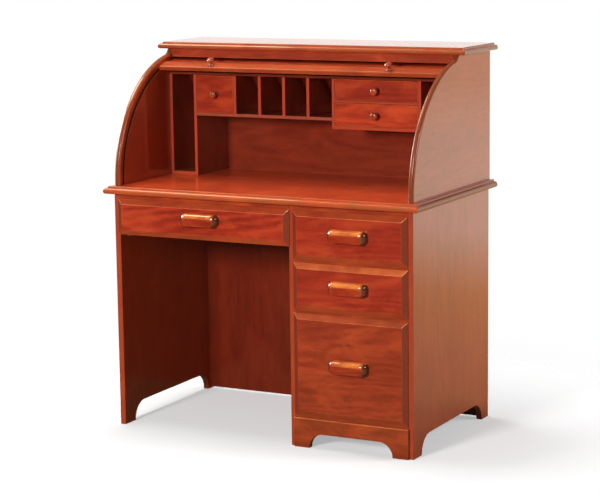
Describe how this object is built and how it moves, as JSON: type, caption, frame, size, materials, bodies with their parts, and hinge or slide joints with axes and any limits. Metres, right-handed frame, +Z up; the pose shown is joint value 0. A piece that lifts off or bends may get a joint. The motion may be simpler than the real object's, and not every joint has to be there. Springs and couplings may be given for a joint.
{
  "type": "roll-top desk",
  "caption": "Single-pedestal cherry roll-top desk with a tambour lid, pigeonholes, a knee drawer, stationery drawers and a file drawer.",
  "frame": {"origin": "on the floor, under the centre of the bounding box", "axes": "+Z up, -Y is the side the sitter faces, +X towards the drawer pedestal"},
  "size_m": [1.068, 0.62, 1.185],
  "materials": {
    "cherry_panel": "clear gloss lacquer, vertical grain",
    "cherry_top": "clear gloss lacquer, grain along the width",
    "cherry_board": "clear satin lacquer, grain along the board",
    "cherry_hood": "clear gloss lacquer, grain front to back",
    "cherry_front": "clear gloss lacquer, grain along the width",
    "cherry_pull": "clear gloss lacquer",
    "cherry_knob": "clear gloss lacquer, turned",
    "cherry_slat": "clear gloss lacquer, grain along the slat",
    "drawer_wood": "clear matt lacquer on a pale secondary wood"
  },
  "bodies": {
    "case": {"side_panel_left": "cherry_panel", "side_panel_right": "cherry_panel", "pedestal_panel": "cherry_panel", "base_back_panel": "cherry_panel", "worktop": "cherry_top", "face_rails": "cherry_board", "pedestal_bottom": "cherry_board", "skirt": "cherry_board", "drawer_runners": "drawer_wood", "hood_side_left": "cherry_hood", "hood_side_right": "cherry_hood", "cap_board": "cherry_top", "header_rail": "cherry_board", "hood_back_panel": "cherry_panel", "tall_partitions": "cherry_board", "pigeonhole_dividers": "cherry_board", "pigeonhole_shelf": "cherry_board", "drawer_bank_boards": "cherry_board", "slot_floors": "cherry_board", "pigeonhole_top": "cherry_board", "pigeonhole_back": "cherry_board"},
    "lift_rail": {"lift_rail": "cherry_slat", "lift_rail_knobs": "cherry_knob"},
    "slat_01": {"slat_01": "cherry_slat"},
    "slat_02": {"slat_02": "cherry_slat"},
    "slat_03": {"slat_03": "cherry_slat"},
    "slat_04": {"slat_04": "cherry_slat"},
    "slat_05": {"slat_05": "cherry_slat"},
    "slat_06": {"slat_06": "cherry_slat"},
    "slat_07": {"slat_07": "cherry_slat"},
    "slat_08": {"slat_08": "cherry_slat"},
    "slat_09": {"slat_09": "cherry_slat"},
    "slat_10": {"slat_10": "cherry_slat"},
    "slat_11": {"slat_11": "cherry_slat"},
    "slat_12": {"slat_12": "cherry_slat"},
    "slat_13": {"slat_13": "cherry_slat"},
    "slat_14": {"slat_14": "cherry_slat"},
    "slat_15": {"slat_15": "cherry_slat"},
    "slat_16": {"slat_16": "cherry_slat"},
    "knee_drawer": {"knee_drawer_front": "cherry_front", "knee_drawer_box": "drawer_wood", "knee_drawer_pull": "cherry_pull"},
    "upper_drawer": {"upper_drawer_front": "cherry_front", "upper_drawer_box": "drawer_wood", "upper_drawer_pull": "cherry_pull"},
    "middle_drawer": {"middle_drawer_front": "cherry_front", "middle_drawer_box": "drawer_wood", "middle_drawer_pull": "cherry_pull"},
    "file_drawer": {"file_drawer_front": "cherry_front", "file_drawer_box": "drawer_wood", "file_drawer_pull": "cherry_pull"},
    "letter_drawer": {"letter_drawer_front": "cherry_front", "letter_drawer_box": "drawer_wood", "letter_drawer_knob": "cherry_knob"},
    "bank_upper_drawer": {"bank_upper_drawer_front": "cherry_front", "bank_upper_drawer_box": "drawer_wood", "bank_upper_drawer_knob": "cherry_knob"},
    "bank_lower_drawer": {"bank_lower_drawer_front": "cherry_front", "bank_lower_drawer_box": "drawer_wood", "bank_lower_drawer_knob": "cherry_knob"}
  },
  "joints": [
    {"name": "lid_roll", "type": "hinge", "parent": "case", "child": "lift_rail", "pos_m": [0, 0.117, 0.765], "axis": [1, 0, 0], "range_deg": [0, 68.9]},
    {"name": "slat_01_roll", "type": "hinge", "parent": "case", "child": "slat_01", "pos_m": [0, 0.117, 0.765], "axis": [1, 0, 0], "range_deg": [0, 68.95]},
    {"name": "slat_02_roll", "type": "hinge", "parent": "case", "child": "slat_02", "pos_m": [0, 0.11353, 0.76885], "axis": [1, 0, 0], "range_deg": [0, 69.88]},
    {"name": "slat_03_roll", "type": "hinge", "parent": "case", "child": "slat_03", "pos_m": [0, 0.09741, 0.78873], "axis": [1, 0, 0], "range_deg": [0, 74.84]},
    {"name": "slat_04_roll", "type": "hinge", "parent": "case", "child": "slat_04", "pos_m": [0, 0.08475, 0.80763], "axis": [1, 0, 0], "range_deg": [0, 79.8]},
    {"name": "slat_05_roll", "type": "hinge", "parent": "case", "child": "slat_05", "pos_m": [0, 0.07512, 0.82555], "axis": [1, 0, 0], "range_deg": [0, 84.76]},
    {"name": "slat_06_roll", "type": "hinge", "parent": "case", "child": "slat_06", "pos_m": [0, 0.06816, 0.84246], "axis": [1, 0, 0], "range_deg": [0, 89.72]},
    {"name": "slat_07_roll", "type": "hinge", "parent": "case", "child": "slat_07", "pos_m": [0, 0.06357, 0.85833], "axis": [1, 0, 0], "range_deg": [0, 94.68]},
    {"name": "slat_08_roll", "type": "hinge", "parent": "case", "child": "slat_08", "pos_m": [0, 0.06108, 0.87311], "axis": [1, 0, 0], "range_deg": [0, 99.64]},
    {"name": "slat_09_roll", "type": "hinge", "parent": "case", "child": "slat_09", "pos_m": [0, 0.06045, 0.88675], "axis": [1, 0, 0], "range_deg": [0, 104.6]},
    {"name": "slat_10_roll", "type": "hinge", "parent": "case", "child": "slat_10", "pos_m": [0, 0.06148, 0.89922], "axis": [1, 0, 0], "range_deg": [0, 109.56]},
    {"name": "slat_11_roll", "type": "hinge", "parent": "case", "child": "slat_11", "pos_m": [0, 0.06397, 0.91045], "axis": [1, 0, 0], "range_deg": [0, 114.51]},
    {"name": "slat_12_roll", "type": "hinge", "parent": "case", "child": "slat_12", "pos_m": [0, 0.06581, 0.91612], "axis": [1, 0, 0], "range_deg": [0, 117.23]},
    {"name": "slat_13_roll", "type": "hinge", "parent": "case", "child": "slat_13", "pos_m": [0, 0.06066, 0.9069], "axis": [1, 0, 0], "range_deg": [0, 112.36]},
    {"name": "slat_14_roll", "type": "hinge", "parent": "case", "child": "slat_14", "pos_m": [0, 0.05385, 0.89804], "axis": [1, 0, 0], "range_deg": [0, 107.48]},
    {"name": "slat_15_roll", "type": "hinge", "parent": "case", "child": "slat_15", "pos_m": [0, 0.04523, 0.88962], "axis": [1, 0, 0], "range_deg": [0, 102.6]},
    {"name": "slat_16_roll", "type": "hinge", "parent": "case", "child": "slat_16", "pos_m": [0, 0.03383, 0.88116], "axis": [1, 0, 0], "range_deg": [0, 97.38]},
    {"name": "knee_drawer_slide", "type": "slide", "parent": "case", "child": "knee_drawer", "axis": [0, -1, 0], "range_m": [0, 0.36]},
    {"name": "upper_drawer_slide", "type": "slide", "parent": "case", "child": "upper_drawer", "axis": [0, -1, 0], "range_m": [0, 0.36]},
    {"name": "middle_drawer_slide", "type": "slide", "parent": "case", "child": "middle_drawer", "axis": [0, -1, 0], "range_m": [0, 0.36]},
    {"name": "file_drawer_slide", "type": "slide", "parent": "case", "child": "file_drawer", "axis": [0, -1, 0], "range_m": [0, 0.4]},
    {"name": "letter_drawer_slide", "type": "slide", "parent": "case", "child": "letter_drawer", "axis": [0, -1, 0], "range_m": [0, 0.085]},
    {"name": "bank_upper_drawer_slide", "type": "slide", "parent": "case", "child": "bank_upper_drawer", "axis": [0, -1, 0], "range_m": [0, 0.06]},
    {"name": "bank_lower_drawer_slide", "type": "slide", "parent": "case", "child": "bank_lower_drawer", "axis": [0, -1, 0], "range_m": [0, 0.1]}
  ],
  "couplings": [
    {"joint": "slat_01_roll", "follows": "lid_roll", "ratio": 1},
    {"joint": "slat_02_roll", "follows": "lid_roll", "ratio": 1.0136},
    {"joint": "slat_03_roll", "follows": "lid_roll", "ratio": 1.0855},
    {"joint": "slat_04_roll", "follows": "lid_roll", "ratio": 1.1575},
    {"joint": "slat_05_roll", "follows": "lid_roll", "ratio": 1.2295},
    {"joint": "slat_06_roll", "follows": "lid_roll", "ratio": 1.3014},
    {"joint": "slat_07_roll", "follows": "lid_roll", "ratio": 1.3734},
    {"joint": "slat_08_roll", "follows": "lid_roll", "ratio": 1.4454},
    {"joint": "slat_09_roll", "follows": "lid_roll", "ratio": 1.5174},
    {"joint": "slat_10_roll", "follows": "lid_roll", "ratio": 1.5893},
    {"joint": "slat_11_roll", "follows": "lid_roll", "ratio": 1.6613},
    {"joint": "slat_12_roll", "follows": "lid_roll", "ratio": 1.7008},
    {"joint": "slat_13_roll", "follows": "lid_roll", "ratio": 1.63},
    {"joint": "slat_14_roll", "follows": "lid_roll", "ratio": 1.5592},
    {"joint": "slat_15_roll", "follows": "lid_roll", "ratio": 1.4883},
    {"joint": "slat_16_roll", "follows": "lid_roll", "ratio": 1.4126}
  ]
}
